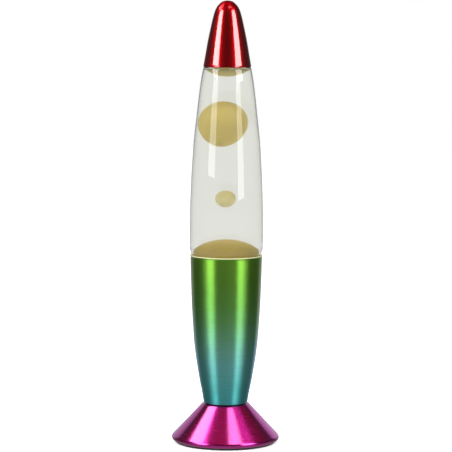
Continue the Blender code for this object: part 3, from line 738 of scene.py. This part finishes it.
def level_ramp(tree, source, stops):
    """A brightness for each value of the source. Stops are (position, level): a grey level or a colour."""
    ramp = tree.nodes.new("ShaderNodeValToRGB")
    elements = ramp.color_ramp.elements
    while len(elements) < len(stops):
        elements.new(0.5)
    for element, (position, level) in zip(elements, stops):
        element.position = position
        colour = level if isinstance(level, tuple) else (level, level, level)
        element.color = (*colour, 1)
    tree.links.new(source, ramp.inputs["Fac"])
    return ramp.outputs["Color"]


def share_of(tree, source, start, stop):
    """The source's range start to stop, as 0 to 1."""
    ranged = tree.nodes.new("ShaderNodeMapRange")
    ranged.inputs["From Min"].default_value = start
    ranged.inputs["From Max"].default_value = stop
    tree.links.new(source, ranged.inputs["Value"])
    return ranged.outputs["Result"]


def direction_axes(tree, normalise):
    """The X, Y and Z of the direction that the world is seen in, or (normalised) of a place on the floor."""
    place = tree.nodes.new("ShaderNodeTexCoord").outputs["Object" if normalise else "Generated"]
    if normalise:
        unit = tree.nodes.new("ShaderNodeVectorMath")
        unit.operation = "NORMALIZE"
        tree.links.new(place, unit.inputs[0])
        place = unit.outputs[0]
    split = tree.nodes.new("ShaderNodeSeparateXYZ")
    tree.links.new(place, split.inputs[0])
    return split.outputs


def shown_to(tree, shown, ray, colour, shader="ShaderNodeEmission"):
    """The shader, with a plain colour (or the output of another node) in its place for one kind of ray."""
    rays = tree.nodes.new("ShaderNodeLightPath")
    glow = tree.nodes.new(shader)
    if isinstance(colour, tuple):
        glow.inputs["Color"].default_value = colour
    else:
        tree.links.new(colour, glow.inputs["Color"])
    mix = tree.nodes.new("ShaderNodeMixShader")
    tree.links.new(rays.outputs[ray], mix.inputs["Fac"])
    tree.links.new(shown, mix.inputs[1])
    tree.links.new(glow.outputs[0], mix.inputs[2])
    return mix.outputs["Shader"]


def make_floor():
    """A white floor. Through glass it shows as the backdrop does, so no horizon crosses the bottle."""
    reach = 4.0
    corners = [(-reach, -reach, 0), (reach, -reach, 0), (reach, reach, 0), (-reach, reach, 0)]
    mesh = bpy.data.meshes.new("floor")
    mesh.from_pydata(corners, [], [(0, 1, 2, 3)])
    material = bpy.data.materials.new("floor")
    material.use_nodes = True
    tree = material.node_tree
    shader = tree.nodes["Principled BSDF"]
    shader.inputs["Base Color"].default_value = (0.9, 0.9, 0.9, 1)
    shader.inputs["Roughness"].default_value = 0.9
    shader.inputs["Specular IOR Level"].default_value = 0.1
    shader.inputs["Emission Color"].default_value = (1, 1, 1, 1)
    shader.inputs["Emission Strength"].default_value = FLOOR_LIFT
    # To shiny surfaces the floor shows a painted glow graded by place, not the light that falls on it
    back = share_of(tree, direction_axes(tree, True)["Y"], -1.0, 1.0)
    reflected = level_ramp(tree, back, FLOOR_ROUND)
    shown = shown_to(tree, shader.outputs["BSDF"], "Is Glossy Ray", reflected)
    shown = shown_to(tree, shown, "Is Transmission Ray", SEEN_THROUGH_GLASS)
    tree.links.new(shown, tree.nodes["Material Output"].inputs["Surface"])
    mesh.materials.append(material)
    obj = bpy.data.objects.new("floor", mesh)
    bpy.context.scene.collection.objects.link(obj)


def make_world():
    """White to the camera, pale grey through glass, soft light on dull surfaces and a dim room in shiny
    ones."""
    world = bpy.data.worlds.new("studio")
    world.use_nodes = True
    bpy.context.scene.world = world
    tree = world.node_tree
    tree.nodes.clear()
    axes = direction_axes(tree, False)
    round_about = level_ramp(tree, share_of(tree, axes["Y"], -1.0, 1.0), ROOM_ROUND)
    overhead = level_ramp(tree, axes["Z"], ROOM_UP)
    room = tree.nodes.new("ShaderNodeVectorMath")
    room.operation = "MAXIMUM"
    tree.links.new(round_about, room.inputs[0])
    tree.links.new(overhead, room.inputs[1])
    fill = tree.nodes.new("ShaderNodeBackground")
    fill.inputs["Color"].default_value = SOFT_FILL
    shown = shown_to(tree, fill.outputs[0], "Is Glossy Ray", room.outputs[0], "ShaderNodeBackground")
    shown = shown_to(tree, shown, "Is Transmission Ray", SEEN_THROUGH_GLASS, "ShaderNodeBackground")
    shown = shown_to(tree, shown, "Is Camera Ray", BACKDROP, "ShaderNodeBackground")
    output = tree.nodes.new("ShaderNodeOutputWorld")
    tree.links.new(shown, output.inputs["Surface"])


def make_camera():
    data = bpy.data.cameras.new("camera")
    data.sensor_width = 36
    data.lens = CAMERA_LENS
    data.clip_start = 0.05
    data.clip_end = 50
    obj = bpy.data.objects.new("camera", data)
    place = Vector((0, -CAMERA_DISTANCE, CAMERA_HEIGHT))
    look = Vector((AIM_ASIDE, 0, AIM_HEIGHT)) - place
    turn = look.to_track_quat("-Z", "Y").to_matrix() @ Matrix.Rotation(math.radians(CAMERA_ROLL), 3, "Z")
    obj.matrix_world = Matrix.Translation(place) @ turn.to_4x4()
    bpy.context.scene.collection.objects.link(obj)
    bpy.context.scene.camera = obj


def make_studio():
    make_camera()
    make_world()
    make_floor()
    for settings in SOFTBOXES:
        make_softbox(*settings)
    bpy.context.scene.view_settings.view_transform = "Standard"


make_studio()
dress_cad_nodes()
make_cap()
make_bottle()
make_liquid()
make_pool()
make_top_wax()
make_blob("wax_blob_large", LOOKS["wax"], 6.0, 0.05)
make_blob("wax_blob_small", wax("small_wax", *SMALL_WAX), -4.0, 0.05)
make_closure()
make_cup()
make_foot_cone()
make_rings()
